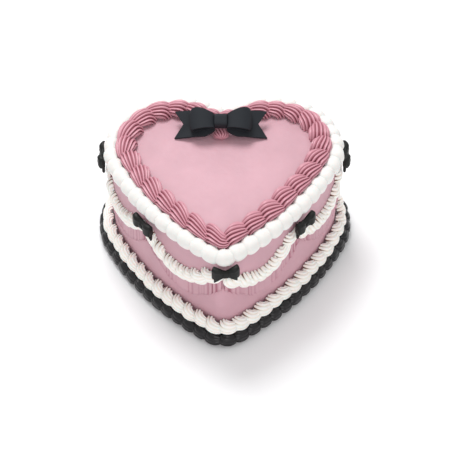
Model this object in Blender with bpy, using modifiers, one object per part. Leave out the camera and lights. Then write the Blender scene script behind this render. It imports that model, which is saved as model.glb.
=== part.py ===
"""Heart shaped layer cake covered in pink icing, piped with shell borders and
draped swags, with seven small bows on its side and one large bow on top.

Metres, +Z up. The cake stands on z = 0 with its tip towards -Y.
Most of the piping is laid out in three numbers: the distance along the wall
from the tip (counter-clockwise seen from above), the distance outside the
wall, and the height.
"""

import math
import random
from functools import lru_cache

import bmesh
import bpy
from mathutils import Matrix, Vector

# Cake, as the outline of its wall
CAKE_HEIGHT = 0.1033
LOBE_X = 0.0422
LOBE_Y = -0.0020
LOBE_RADIUS = 0.0574
SIDE_ANGLE = math.radians(-24.8)
SIDE_RADIUS = 0.2636
TIP_RADIUS = 0.0128
NOTCH_RADIUS = 0.018
SMALLEST_RADIUS = 0.003
TOP_EDGE_RADIUS = 0.004
WALL_STEPS = 96

# Clearance between pieces that touch
GAP = 0.0003

# Large shells round the top
TOP_SHELLS = 29
TOP_SHELL_PATH = -0.0135
TOP_SHELL_HALF_WIDTH = 0.0094
TOP_SHELL_HEIGHT = 0.0105
TOP_SHELL_RIDGES = 6
RIDGE_DEPTH = 0.19
TOP_SHELL_DRIFT = 0.0070

# White border over the top edge
RIM_PUFFS = 45
RIM_FOOT = -0.0037

# Two borders round the base
BASE_SHELLS = 49
BASE_BEADS = 53
BASE_PARTING = 0.013

# Draped swags and the small bows between them
SWAGS = 7
SWAG_END_HEIGHT = 0.081
SWAG_DROP = 0.024
SWAG_HALF_WIDTH = 0.0070
SWAG_EXTRA_WIDTH = 0.0015
SWAG_END_THICKNESS = 0.0034
SWAG_EXTRA_THICKNESS = 0.0028
SWAG_PETALS = 8
SWAG_END_CLEARANCE = 0.0010
RUFFLE_END_HEIGHT = 0.062
RUFFLE_DROP = 0.028
RUFFLE_PLEATS = 8
SMALL_BOW_HEIGHT = 0.0848
SMALL_BOW_BACK = 0.0052
TIP_BOW_SHIFT = 0.0028
TIP_BOW_RISE = 0.0012

# Large bow, in its own frame: x along it, u up its slope, w off its slope
BOW_CENTRE = Vector((-0.0026, 0.0165, CAKE_HEIGHT + 0.012))
BOW_TILT = math.radians(25)
BOW_THICKNESS = 0.0022
KNOT_HALF_WIDTH = 0.00575
KNOT_BACK = -0.001
KNOT_FRONT = 0.0098
KNOT_LOW = -0.0072
KNOT_HIGH = 0.0066
TAIL_LENGTH = 0.041
TAIL_NOTCH_LENGTH = 0.033
TAIL_HALF_WIDTH = 0.0125
TAIL_PINCH = 0.0093
TAIL_DROOP = 0.0068
LOOP_LENGTH = 0.0273
LOOP_LOW = -0.0080
LOOP_HIGH = 0.0130
LOOP_KNOT_LOW = -0.0068
LOOP_KNOT_HIGH = 0.0060

# Shell that points forward from the notch
NOTCH_SHELL_BACK = 0.0166
NOTCH_SHELL_FRONT = 0.0056
NOTCH_SHELL_HALF_WIDTH = 0.0074
NOTCH_SHELL_HEIGHT = 0.0074

# Colours
PINK = (0.62, 0.33, 0.37)
PINK_PIPED = (0.60, 0.26, 0.31)
WHITE = (0.90, 0.88, 0.84)
BLACK = (0.018, 0.016, 0.020)
CHARCOAL = (0.030, 0.036, 0.042)


# Outline of the heart

def soft_floor(value, floor):
    """The value where it is well above the floor, and never under the floor."""
    over = value - floor
    return floor + (over + math.sqrt(over * over + floor * floor)) / 2


def direction_angle(start, end):
    return math.atan2(end[1] - start[1], end[0] - start[0])


@lru_cache(maxsize=None)
def heart_arcs(out):
    """Arcs of the right half, tip to notch, of the outline that far outside the wall.

    Each is a centre, a radius, and the angles at which it starts and ends.
    """
    tip_radius = soft_floor(TIP_RADIUS + out, SMALLEST_RADIUS)
    notch_radius = soft_floor(NOTCH_RADIUS - out, SMALLEST_RADIUS)
    lobe_radius = LOBE_RADIUS + out
    side_radius = SIDE_RADIUS + out
    lobe = (LOBE_X, LOBE_Y)
    shift = SIDE_RADIUS - LOBE_RADIUS
    side = (LOBE_X - shift * math.cos(SIDE_ANGLE), LOBE_Y - shift * math.sin(SIDE_ANGLE))
    tip = (0.0, side[1] - math.sqrt((side_radius - tip_radius) ** 2 - side[0] ** 2))
    notch = (0.0, LOBE_Y + math.sqrt((lobe_radius + notch_radius) ** 2 - LOBE_X ** 2))
    tip_angle = direction_angle(side, tip)
    notch_angle = direction_angle(lobe, notch)
    return (
        (tip, tip_radius, -math.pi / 2, tip_angle),
        (side, side_radius, tip_angle, SIDE_ANGLE),
        (lobe, lobe_radius, SIDE_ANGLE, notch_angle),
        (notch, notch_radius, notch_angle - math.pi, -math.pi / 2),
    )


def arc_length(arc):
    return arc[1] * abs(arc[3] - arc[2])


PERIMETER = 2 * sum(arc_length(arc) for arc in heart_arcs(0.0))


def place(along, out, height):
    """Point at a distance along the wall, a distance outside it, and a height."""
    along = (along + PERIMETER / 2) % PERIMETER - PERIMETER / 2
    before = 0.0
    for wall_arc, arc in zip(heart_arcs(0.0), heart_arcs(round(out, 7))):
        before += arc_length(wall_arc)
        if abs(along) <= before:
            break
    centre, radius, start, end = arc
    missing = max(before - abs(along), 0) / arc_length(wall_arc)
    angle = end + (start - end) * missing
    x = centre[0] + radius * math.cos(angle)
    return Vector((math.copysign(x, along), centre[1] + radius * math.sin(angle), height))


def stretch(along, out):
    """How much longer a step along the wall becomes at a distance outside it."""
    step = 0.0005
    return (place(along + step, out, 0) - place(along - step, out, 0)).length / (2 * step)


# Making meshes

def add_object(name, mesh, material):
    for polygon in mesh.polygons:
        polygon.use_smooth = True
    mesh.materials.append(material)
    made = bpy.data.objects.new(name, mesh)
    cake_parts.objects.link(made)
    return made


def loft(name, rings, material, is_closed):
    """Skin equal rings of points; the skin closes on itself or ends in two caps."""
    shape = bmesh.new()
    rows = [[shape.verts.new(point) for point in ring] for ring in rings]
    pairs = list(zip(rows, rows[1:]))
    if is_closed:
        pairs.append((rows[-1], rows[0]))
    else:
        shape.faces.new(rows[0])
        shape.faces.new(rows[-1])
    for near, far in pairs:
        for here, beside in zip(range(len(near)), list(range(1, len(near))) + [0]):
            shape.faces.new((near[here], near[beside], far[beside], far[here]))
    return finish_mesh(name, shape, material)


def finish_mesh(name, shape, material):
    bmesh.ops.triangulate(shape, faces=shape.faces[:])
    bmesh.ops.recalc_face_normals(shape, faces=shape.faces[:])
    mesh = bpy.data.meshes.new(name)
    shape.to_mesh(mesh)
    shape.free()
    return add_object(name, mesh, material)


def make_material(name, colour, roughness):
    material = bpy.data.materials.new(name)
    material.use_nodes = True
    shader = material.node_tree.nodes["Principled BSDF"]
    shader.inputs["Base Color"].default_value = (*colour, 1)
    shader.inputs["Roughness"].default_value = roughness
    shader.inputs["Metallic"].default_value = 0.0
    return material


# Rhythm of the piping

def uneven_starts(count, spread, seed, longer_near=0.0, lengthening=0.0):
    """Starts of uneven strokes that share the whole way round, and the end of the last."""
    draw = random.Random(seed)
    lengths = []
    for index in range(count):
        swing = lengthening * math.cos(2 * math.pi * (index / count - longer_near))
        lengths.append(1 + swing + spread * draw.uniform(-1, 1))
    scale = PERIMETER / sum(lengths)
    starts = [0.0]
    for length in lengths:
        starts.append(starts[-1] + length * scale)
    return starts


def stations(starts, phases):
    """Each stroke's number, phase and distance along the wall, stroke by stroke."""
    for stroke, (start, end) in enumerate(zip(starts, starts[1:])):
        for phase in phases:
            yield stroke, phase, start + (end - start) * phase


def border(name, starts, swell, section, material, seed, spread):
    """A piped border all the way round; each stroke swells in its own uneven measure."""
    draw = random.Random(seed)
    sizes = [1 - spread * draw.random() for _ in starts]
    rings = []
    for stroke, phase, along in stations(starts, sorted(swell)):
        rings.append([place(along, out, height)
                      for out, height in section(swell[phase], sizes[stroke])])
    return loft(name, rings, material, is_closed=True)


# Cake and its borders

def make_body(icing):
    edge = TOP_EDGE_RADIUS
    bend = edge * (1 - math.sqrt(0.5))
    levels = ((0, 0), (0, CAKE_HEIGHT - edge), (-bend, CAKE_HEIGHT - bend), (-edge, CAKE_HEIGHT))
    rings = []
    for out, height in levels:
        rings.append([place(PERIMETER * step / WALL_STEPS, out, height)
                      for step in range(WALL_STEPS)])
    return loft("cake_body", rings, icing, is_closed=False)


def ridged_profile(half_width, height, ridges, middle):
    """Points across a ridged shell that stands on the cake's top."""
    count = 2 * ridges
    points = []
    for index in range(count + 1):
        across = -1 + 2 * index / count
        crown = (1 - abs(across) ** 2.4) ** 0.6
        if index % 2 == 0:
            crown *= 1 - RIDGE_DEPTH
        points.append((middle + half_width * across, CAKE_HEIGHT + GAP + height * crown))
    return points


def make_top_shells(icing):
    swell = {0.0: 0.54, 0.06: 0.80, 0.22: 1.0, 0.5: 0.92, 0.8: 0.68}

    def section(size, unevenness):
        drift = TOP_SHELL_DRIFT * (1 - size)
        return ridged_profile(TOP_SHELL_HALF_WIDTH * size, TOP_SHELL_HEIGHT * size * unevenness,
                              TOP_SHELL_RIDGES, TOP_SHELL_PATH + drift)

    starts = uneven_starts(TOP_SHELLS, 0.08, 5, longer_near=0.9, lengthening=0.13)
    return border("top_shells", starts, swell, section, icing, seed=11, spread=0.10)


def make_notch_shell(icing):
    """The last shell, which points forward from the notch under the large bow."""
    length = NOTCH_SHELL_BACK - NOTCH_SHELL_FRONT
    outline = ((0.0, 0.60, 0.60), (0.25, 0.92, 0.92), (0.58, 1.0, 1.0), (0.86, 0.82, 0.84),
               (1.0, 0.45, 0.34))
    rings = []
    for share, width, height in outline:
        y = NOTCH_SHELL_BACK - share * length
        profile = ridged_profile(NOTCH_SHELL_HALF_WIDTH * width, NOTCH_SHELL_HEIGHT * height, 5,
                                 BOW_CENTRE.x)
        rings.append([Vector((x, y, z)) for x, z in profile])
    return loft("notch_shell", rings, icing, is_closed=False)


def make_rim_border(icing):
    swell = {0.0: 0.0, 0.24: 0.92, 0.64: 1.0}

    def section(size, unevenness):
        top = CAKE_HEIGHT
        bulge = size * unevenness
        return (
            (RIM_FOOT, top + GAP),
            (-0.0020, top + 0.0014 + 0.0016 * size),
            (0.0026, top + 0.0008 + 0.0016 * size),
            (0.0040 + 0.0028 * bulge, top - 0.0026),
            (0.0028 + 0.0020 * bulge, top - 0.0054 - 0.0032 * bulge),
            (GAP, top - 0.0052 - 0.0016 * size),
            (GAP, top - 0.0009),
        )

    starts = uneven_starts(RIM_PUFFS, 0.10, 3)
    return border("rim_border", starts, swell, section, icing, seed=7, spread=0.16)


def make_base_border(icing):
    swell = {0.0: 0.0, 0.28: 0.95, 0.68: 1.0}

    def section(size, unevenness):
        bulge = size * unevenness
        return (
            (GAP, 0.0),
            (0.0105 + 0.0030 * bulge, 0.0),
            (0.0122 + 0.0036 * bulge, 0.0050),
            (0.0085 + 0.0015 * bulge, 0.0108 + 0.0010 * size),
            (GAP, BASE_PARTING - GAP / 2),
        )

    starts = uneven_starts(BASE_BEADS, 0.07, 21)
    return border("base_border", starts, swell, section, icing, seed=23, spread=0.12)


def make_base_shells(icing):
    swell = {0.0: 0.0, 0.2: 0.9, 0.5: 1.0}

    def section(size, unevenness):
        bulge = size * unevenness
        return (
            (GAP, BASE_PARTING + GAP / 2),
            (0.0068 + 0.0010 * bulge, BASE_PARTING + GAP / 2),
            (0.0084 + 0.0026 * bulge, BASE_PARTING + 0.0038),
            (0.0042 + 0.0018 * bulge, BASE_PARTING + 0.0086 + 0.0020 * size),
            (GAP, BASE_PARTING + 0.0105 + 0.0030 * bulge),
        )

    starts = uneven_starts(BASE_SHELLS, 0.09, 31)
    return border("base_shells", starts, swell, section, icing, seed=37, spread=0.14)


# Swags and small bows

def swag_span(index):
    """Where a swag starts and ends along the wall."""
    start = index * PERIMETER / SWAGS + SWAG_END_CLEARANCE
    return start, (index + 1) * PERIMETER / SWAGS - SWAG_END_CLEARANCE


def swag_edges(share):
    """Heights of the upper and lower edge of the white swag at a share of its length."""
    drape = math.sin(math.pi * share)
    centre = SWAG_END_HEIGHT - SWAG_DROP * drape
    half = SWAG_HALF_WIDTH + SWAG_EXTRA_WIDTH * drape
    return centre + half, centre - half


def make_white_swag(index, icing):
    start, end = swag_span(index)
    swell = {0.0: 0.0, 0.3: 1.0, 0.7: 0.94}
    draw = random.Random(100 + index)
    rings = []
    steps = [(petal + phase, swell[phase]) for petal in range(SWAG_PETALS) for phase in sorted(swell)]
    for step, size in steps + [(SWAG_PETALS, 0.0)]:
        share = step / SWAG_PETALS
        high, low = swag_edges(share)
        width = high - low
        swelling = min(1, 1.6 * math.sin(math.pi * share))
        thick = SWAG_END_THICKNESS + SWAG_EXTRA_THICKNESS * swelling
        thick *= 0.72 + 0.28 * size * draw.uniform(0.9, 1.0)
        section = (
            (GAP, low + 0.05 * width * (1 - size)),
            (0.75 * thick, low + 0.07 * width * (1 - size)),
            (thick, low + 0.42 * width),
            (0.55 * thick, high - 0.14 * width),
            (GAP, high - 0.05 * width * (1 - size)),
        )
        along = start + (end - start) * share
        rings.append([place(along, out, height) for out, height in section])
    return loft(f"white_swag_{index + 1}", rings, icing, is_closed=False)


def make_pink_ruffle(index, icing):
    start, end = swag_span(index)
    count = 2 * RUFFLE_PLEATS
    draw = random.Random(200 + index)
    rings = []
    for step in range(count + 1):
        share = step / count
        top = swag_edges(share)[1] - 2 * GAP
        bottom = RUFFLE_END_HEIGHT - RUFFLE_DROP * math.sin(math.pi * share)
        bottom += draw.uniform(-0.0008, 0.0008)
        thick = 0.0030 if step % 2 else 0.0017
        section = (
            (GAP, top),
            (0.0008 + 0.4 * thick, top - 0.0006),
            (thick, bottom + 0.0030),
            (GAP, bottom),
        )
        along = start + (end - start) * share
        rings.append([place(along, out, height) for out, height in section])
    return loft(f"pink_ruffle_{index + 1}", rings, icing, is_closed=False)


def make_small_bow(index, icing):
    """A moulded bow: wings that flare from a knot, over two short tails."""
    is_tip_bow = index == 0
    along = index * PERIMETER / SWAGS + (TIP_BOW_SHIFT if is_tip_bow else 0)
    centre = SMALL_BOW_HEIGHT + (TIP_BOW_RISE if is_tip_bow else 0)
    spread = stretch(along, SMALL_BOW_BACK)
    half = (
        (0.0000, -0.0036, 0.0038, 0.0058),
        (0.0022, -0.0038, 0.0039, 0.0054),
        (0.0030, -0.0046, 0.0042, 0.0036),
        (0.0060, -0.0084, 0.0063, 0.0046),
        (0.0090, -0.0122, 0.0076, 0.0042),
        (0.0096, -0.0070, 0.0076, 0.0038),
        (0.0112, -0.0060, 0.0075, 0.0030),
    )
    outline = [(-x, low, high, thick) for x, low, high, thick in reversed(half[1:])] + list(half)
    rings = []
    for x, low, high, thick in outline:
        tall = high - low
        section = (
            (0.0, low),
            (0.80 * thick, low + 0.07 * tall),
            (thick, low + 0.50 * tall),
            (0.80 * thick, high - 0.07 * tall),
            (0.0, high),
        )
        rings.append([place(along + x / spread, SMALL_BOW_BACK + out, centre + height)
                      for out, height in section])
    return loft(f"small_bow_{index + 1}", rings, icing, is_closed=False)


# Large bow

def bow_point(x, up, off):
    """A point of the large bow's own frame, in the cake's frame."""
    tilt = BOW_TILT
    y = up * math.cos(tilt) - off * math.sin(tilt)
    z = up * math.sin(tilt) + off * math.cos(tilt)
    return BOW_CENTRE + Vector((x, y, z))


def bow_droop(x):
    """How far the tails hang below the knot."""
    beyond = max(abs(x) - KNOT_HALF_WIDTH, 0) / (TAIL_LENGTH - KNOT_HALF_WIDTH)
    return TAIL_DROOP * beyond ** 1.2


def thicken(made, thickness):
    solid = made.modifiers.new("Thickness", "SOLIDIFY")
    solid.thickness = thickness
    solid.offset = -1
    solid.use_even_offset = True


def make_bow_tail(side, fondant):
    """One flat tail: pinched at the knot, with a notch cut in its end."""
    shape = bmesh.new()
    across = (-1, -0.5, 0, 0.5, 1)
    inner = KNOT_HALF_WIDTH + GAP
    columns = []
    for step in range(7):
        share = step / 6
        width = TAIL_PINCH + (TAIL_HALF_WIDTH - TAIL_PINCH) * min(1, 1.8 * share) ** 0.8
        column = []
        for part in across:
            end = TAIL_NOTCH_LENGTH + (TAIL_LENGTH - TAIL_NOTCH_LENGTH) * abs(part)
            x = inner + share * (end - inner)
            point = bow_point(side * x, width * part, BOW_THICKNESS - bow_droop(x))
            column.append(shape.verts.new(point))
        columns.append(column)
    for near, far in zip(columns, columns[1:]):
        for low in range(len(across) - 1):
            corners = [near[low], far[low], far[low + 1], near[low + 1]]
            shape.faces.new(corners if side > 0 else corners[::-1])
    mesh = bpy.data.meshes.new("bow_tail")
    shape.to_mesh(mesh)
    shape.free()
    made = add_object("bow_tail_right" if side > 0 else "bow_tail_left", mesh, fondant)
    thicken(made, BOW_THICKNESS)
    return made


def make_bow_loop(side, fondant):
    """One loop: a strip folded over and pinched at the knot, open front and back."""
    shape = bmesh.new()
    inner = KNOT_HALF_WIDTH + GAP
    reach = LOOP_LENGTH - inner
    count = 16
    columns = []
    for up_share in (0.0, 0.5, 1.0):
        column = []
        for step in range(count):
            angle = 2 * math.pi * (step + 0.5) / count
            across = math.copysign(abs(math.cos(angle)) ** 0.75, math.cos(angle))
            rise = math.copysign(abs(math.sin(angle)) ** 0.7, math.sin(angle))
            share = (1 - across) / 2
            x = inner + reach * share
            half = 0.0031 + 0.0014 * share
            low = LOOP_KNOT_LOW + (LOOP_LOW - LOOP_KNOT_LOW) * share
            high = LOOP_KNOT_HIGH + (LOOP_HIGH - LOOP_KNOT_HIGH) * share ** 0.9
            up = low + (high - low) * up_share
            off = BOW_THICKNESS + 2 * GAP - bow_droop(x) + half * (1 + rise)
            column.append(shape.verts.new(bow_point(side * x, up, off)))
        columns.append(column)
    for near, far in zip(columns, columns[1:]):
        for here in range(count):
            beside = (here + 1) % count
            corners = [near[here], near[beside], far[beside], far[here]]
            shape.faces.new(corners if side > 0 else corners[::-1])
    mesh = bpy.data.meshes.new("bow_loop")
    shape.to_mesh(mesh)
    shape.free()
    made = add_object("bow_loop_right" if side > 0 else "bow_loop_left", mesh, fondant)
    thicken(made, 0.0016)
    return made


def make_bow_knot(fondant):
    """The band round the middle: a rounded block."""
    shape = bmesh.new()
    bmesh.ops.create_cube(shape, size=1)
    size = Vector((2 * KNOT_HALF_WIDTH, KNOT_HIGH - KNOT_LOW, KNOT_FRONT - KNOT_BACK))
    middle = bow_point(0, (KNOT_HIGH + KNOT_LOW) / 2, (KNOT_FRONT + KNOT_BACK) / 2)
    bmesh.ops.transform(shape, matrix=Matrix.Diagonal(size).to_4x4(), verts=shape.verts[:])
    bmesh.ops.transform(shape, matrix=Matrix.Rotation(BOW_TILT, 4, "X"), verts=shape.verts[:])
    bmesh.ops.translate(shape, vec=middle, verts=shape.verts[:])
    mesh = bpy.data.meshes.new("bow_knot")
    shape.to_mesh(mesh)
    shape.free()
    made = add_object("bow_knot", mesh, fondant)
    bevel = made.modifiers.new("Rounded edges", "BEVEL")
    bevel.width = 0.0022
    bevel.segments = 3
    return made


# Whole cake

def clear_scene():
    for old in list(bpy.data.objects):
        bpy.data.objects.remove(old, do_unlink=True)


def centre_on_origin():
    """Shift every part alike so that the cake's box is centred over the origin."""
    corners = [vertex.co for part in cake_parts.objects for vertex in part.data.vertices]
    x = (min(c.x for c in corners) + max(c.x for c in corners)) / 2
    y = (min(c.y for c in corners) + max(c.y for c in corners)) / 2
    for part in cake_parts.objects:
        part.location = (-x, -y, 0)


def build_cake():
    pink = make_material("pink_icing", PINK, 0.55)
    piped_pink = make_material("piped_pink_icing", PINK_PIPED, 0.5)
    white = make_material("white_icing", WHITE, 0.5)
    black = make_material("black_icing", BLACK, 0.38)
    fondant = make_material("charcoal_fondant", CHARCOAL, 0.6)
    make_body(pink)
    make_top_shells(piped_pink)
    make_notch_shell(piped_pink)
    make_rim_border(white)
    make_base_border(black)
    make_base_shells(white)
    for index in range(SWAGS):
        make_white_swag(index, white)
        make_pink_ruffle(index, pink)
        make_small_bow(index, black)
    for side in (-1, 1):
        make_bow_tail(side, fondant)
        make_bow_loop(side, fondant)
    make_bow_knot(fondant)
    centre_on_origin()


clear_scene()
cake_parts = bpy.data.collections.new("heart_cake")
bpy.context.scene.collection.children.link(cake_parts)
build_cake()
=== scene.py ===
"""Looks of the heart shaped cake: smoothed and piped icing, swags and fondant bows.

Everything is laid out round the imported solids. Piping is placed by three numbers:
the distance along the wall from the tip (counter-clockwise seen from above), the
distance outside the wall, and the height.
"""

import math
import random

import bmesh
import bpy
import numpy as np
from bpy.props import FloatProperty, FloatVectorProperty, IntProperty, PointerProperty
from mathutils import Matrix, Vector


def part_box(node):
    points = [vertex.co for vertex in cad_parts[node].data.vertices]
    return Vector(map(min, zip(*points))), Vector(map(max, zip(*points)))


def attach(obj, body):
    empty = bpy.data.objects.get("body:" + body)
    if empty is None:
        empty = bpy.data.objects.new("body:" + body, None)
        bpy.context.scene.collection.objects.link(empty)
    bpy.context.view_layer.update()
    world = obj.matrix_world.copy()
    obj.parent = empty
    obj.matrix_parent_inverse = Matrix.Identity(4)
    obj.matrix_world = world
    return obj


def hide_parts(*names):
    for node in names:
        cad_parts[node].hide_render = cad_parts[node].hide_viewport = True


bl_info = {
    "name": "Piped heart cake",
    "version": (1, 0, 0),
    "blender": (4, 5, 0),
    "location": "3D View > Sidebar > Cake",
    "description": "Dresses a heart shaped cake in smoothed icing, piped borders, swags and bows",
    "category": "Add Mesh",
}

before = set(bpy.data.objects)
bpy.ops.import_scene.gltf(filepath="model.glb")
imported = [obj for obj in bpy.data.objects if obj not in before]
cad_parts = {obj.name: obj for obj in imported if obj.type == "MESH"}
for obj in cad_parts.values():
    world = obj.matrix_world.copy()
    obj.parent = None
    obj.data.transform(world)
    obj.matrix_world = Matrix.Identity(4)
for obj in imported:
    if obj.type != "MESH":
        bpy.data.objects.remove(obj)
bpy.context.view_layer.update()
body_low, body_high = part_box("cake_body")
SUNK = -0.0003  # how far piping may reach into what carries it


def metres(label, about, default):
    return FloatProperty(name=label, description=about, default=default, subtype="DISTANCE")


def degrees(label, about, default):
    return FloatProperty(name=label, description=about, default=math.radians(default),
                         subtype="ANGLE")


def number(label, about, default):
    return IntProperty(name=label, description=about, default=default, min=1)


def tint(label, about, default):
    return FloatVectorProperty(name=label, description=about, default=default, size=3,
                               subtype="COLOR", min=0, max=1)


class CakeSizes(bpy.types.PropertyGroup):
    """Outline of the wall and the levels of the decoration on it."""
    lobe_x: metres("Lobe centre", "Distance of a lobe's centre from the middle", 0.0422)
    lobe_y: metres("Lobe depth", "Place of the lobes' centres along the cake", -0.0020)
    lobe_radius: metres("Lobe radius", "Radius of the round lobes", 0.0574)
    side_angle: degrees("Side angle", "Where the lobe runs into the long side", -24.8)
    side_radius: metres("Side radius", "Radius of the long sides", 0.2636)
    tip_radius: metres("Tip radius", "Rounding of the tip", 0.0128)
    notch_radius: metres("Notch radius", "Rounding of the notch", 0.018)
    smallest_radius: metres("Smallest radius", "Least rounding of any line of piping", 0.003)
    top_edge: metres("Top edge", "Rounding of the cake's top edge", 0.004)
    swag_height: metres("Swag ends", "Height of the swags where they meet the bows", 0.081)
    swag_drop: metres("Swag drop", "How far the swags hang down", 0.024)
    swags: number("Swags", "Number of swags round the cake", 7)


class BowSizes(bpy.types.PropertyGroup):
    """Sizes of the large bow, which lies in its own frame: x, up its slope and off it."""
    tilt: degrees("Tilt", "Slope on which the bow lies", 25)
    thickness: metres("Tail thickness", "Thickness of the tails", 0.0022)
    strip: metres("Loop thickness", "Thickness of the loops' strip", 0.0016)
    rounding: metres("Rounding", "Rounding of the cut edges of the fondant", 0.0005)
    tuck: metres("Tuck", "How far the loops and tails reach into the knot", 0.0006)
    knot_half: metres("Knot half width", "Half the width of the knot", 0.00575)
    knot_low: metres("Knot low", "Lower edge of the knot", -0.0072)
    knot_high: metres("Knot high", "Upper edge of the packed knot", 0.0066)
    knot_top: metres("Knot top", "Upper edge of the rounded knot", 0.0042)
    knot_back: metres("Knot back", "Back of the knot", -0.001)
    knot_front: metres("Knot front", "Front of the knot", 0.0098)
    tail_length: metres("Tail length", "Reach of the tails' points", 0.041)
    tail_notch: metres("Tail notch", "Reach of the notch in the tails", 0.033)
    tail_half: metres("Tail half width", "Half the width of the tails", 0.0125)
    tail_pinch: metres("Tail pinch", "Half width at the knot", 0.0060)
    tail_slip: metres("Tail slip", "How far down the slope the tails have slipped", 0.0016)
    droop: metres("Droop", "How far the tails hang down", 0.0068)
    loop_length: metres("Loop length", "Reach of the loops", 0.0273)
    loop_low: metres("Loop low", "Lower edge of the loops", -0.0105)
    loop_high: metres("Loop high", "Upper edge of the loops", 0.0104)
    loop_knot_low: metres("Loop low at knot", "Lower edge at the knot", -0.0080)
    loop_knot_high: metres("Loop high at knot", "Upper edge at the knot", 0.0040)
    loop_pinch: metres("Loop pinch", "Half the depth of the loops at the knot", 0.0028)
    loop_swell: metres("Loop swell", "What the loops gain in half depth", 0.0015)


class IcingColours(bpy.types.PropertyGroup):
    """Colours of the icings and the fondant, and of the painted shadow in the gaps between shells."""
    pink: tint("Smooth pink", "Icing on the top and the wall", (0.615, 0.355, 0.412))
    piped_pink: tint("Piped pink", "Icing of the large shells", (0.67, 0.315, 0.38))
    white: tint("White", "Icing of the white borders and swags", (0.96, 0.94, 0.91))
    black: tint("Black", "Icing of the border round the foot", (0.009, 0.0075, 0.009))
    charcoal: tint("Charcoal", "Fondant of the large bow", (0.021, 0.024, 0.029))
    small_bow: tint("Small bows", "Fondant of the small bows", (0.015, 0.016, 0.015))
    # Painted shadow: the two gap colours darken the gaps between shells.
    gap: tint("Gap shadow", "Shadowed gaps between piped shells", (0.16, 0.06, 0.04))
    pink_gap_shadow: tint("Pink gap", "Shadowed gaps between pink shells", (0.12, 0.02, 0.03))


def sizes():
    return bpy.context.scene.cake_sizes


def bow_sizes():
    return bpy.context.scene.bow_sizes


def colours():
    return bpy.context.scene.cake_colours


# Outline of the heart

def soft_floor(value, floor):
    """The value where it is well above the floor, and never under the floor."""
    over = value - floor
    return floor + (over + np.sqrt(over * over + floor * floor)) / 2


def heart_arcs(out):
    """Arcs of the right half, tip to notch, of the outlines that far outside the wall."""
    size = sizes()
    out = np.asarray(out, float)
    tip_radius = soft_floor(size.tip_radius + out, size.smallest_radius)
    notch_radius = soft_floor(size.notch_radius - out, size.smallest_radius)
    lobe_radius = size.lobe_radius + out
    side_radius = size.side_radius + out
    shift = size.side_radius - size.lobe_radius
    side_x = size.lobe_x - shift * math.cos(size.side_angle)
    side_y = size.lobe_y - shift * math.sin(size.side_angle)
    tip_y = side_y - np.sqrt((side_radius - tip_radius) ** 2 - side_x ** 2)
    notch_y = size.lobe_y + np.sqrt((lobe_radius + notch_radius) ** 2 - size.lobe_x ** 2)
    tip_angle = np.arctan2(tip_y - side_y, -side_x)
    notch_angle = np.arctan2(notch_y - size.lobe_y, -size.lobe_x)
    down = -math.pi / 2
    return (
        (0.0, tip_y, tip_radius, down, tip_angle),
        (side_x, side_y, side_radius, tip_angle, size.side_angle),
        (size.lobe_x, size.lobe_y, lobe_radius, size.side_angle, notch_angle),
        (0.0, notch_y, notch_radius, notch_angle - math.pi, down),
    )


def wall_lengths():
    return [float(radius * abs(end - start)) for _, _, radius, start, end in heart_arcs(0.0)]


def perimeter():
    return 2 * sum(wall_lengths())


def outline_middle():
    """Y of the point that the outline's arcs are measured from."""
    return body_high.y - sizes().lobe_y - sizes().lobe_radius


def place(along, out, height):
    """Points at distances along the wall, distances outside it, and heights."""
    along, out, height = np.broadcast_arrays(np.asarray(along, float), out, height)
    whole = perimeter()
    along = (along + whole / 2) % whole - whole / 2
    walked = np.abs(along)
    x = np.zeros_like(walked)
    y = np.zeros_like(walked)
    before = 0.0
    for length, (centre_x, centre_y, radius, start, end) in zip(wall_lengths(), heart_arcs(out)):
        here = walked >= before
        angle = start + (end - start) * np.minimum((walked - before) / length, 1)
        x = np.where(here, centre_x + radius * np.cos(angle), x)
        y = np.where(here, centre_y + radius * np.sin(angle), y)
        before += length
    middle_x = (body_low.x + body_high.x) / 2
    return np.stack([middle_x + np.copysign(x, along), outline_middle() + y, height], axis=-1)


class Lane:
    """A line round the cake at one distance outside the wall, measured along itself."""
    samples = 1441

    def __init__(self, out):
        self.out = out
        self.along = np.linspace(0, perimeter(), self.samples)
        points = place(self.along, out, 0.0)
        steps = np.linalg.norm(np.diff(points, axis=0), axis=1)
        self.walked = np.concatenate([[0], np.cumsum(steps)])
        self.length = self.walked[-1]

    def wall_distance(self, walked):
        """Distance along the wall beside a distance walked on this line."""
        turns = np.floor(walked / self.length)
        inside = walked - turns * self.length
        return np.interp(inside, self.walked, self.along) + turns * perimeter()

    def walked_beside(self, along):
        """Distance walked on this line beside a distance along the wall."""
        return float(np.interp(along, self.along, self.walked))


# Blanks, and the pieces shaped from them

def deselect():
    bpy.ops.object.select_all(action="DESELECT")


def make_blank(around, rings, ends="TRIFAN"):
    """A unit tube in even rings, from which strokes are shaped."""
    deselect()
    bpy.ops.mesh.primitive_cylinder_add(vertices=around, radius=1, depth=1, location=(0, 0, 0.5),
                                        end_fill_type=ends)
    blank = bpy.context.object
    bpy.ops.object.transform_apply(location=True)
    bpy.ops.object.mode_set(mode="EDIT")
    bpy.ops.mesh.select_mode(type="EDGE")
    bpy.ops.mesh.select_all(action="DESELECT")
    shape = bmesh.from_edit_mesh(blank.data)
    for edge in shape.edges:
        low, high = sorted(vertex.co.z for vertex in edge.verts)
        edge.select = high - low > 0.5
    bmesh.update_edit_mesh(blank.data)
    bpy.ops.mesh.subdivide(number_cuts=rings - 1)
    bpy.ops.object.mode_set(mode="OBJECT")
    return blank


def read_places(piece):
    """X, y and z of each vertex."""
    flat = np.zeros(len(piece.data.vertices) * 3)
    piece.data.vertices.foreach_get("co", flat)
    return flat.reshape(-1, 3).T


def blank_places(blank):
    """Angle round the tube, share of its length and share of its radius, of each vertex."""
    x, y, z = read_places(blank)
    return np.arctan2(y, x), np.clip(z, 0, 1), np.minimum(np.hypot(x, y), 1)


def set_places(piece, points):
    piece.data.vertices.foreach_set("co", np.ascontiguousarray(points, float).ravel())


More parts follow.
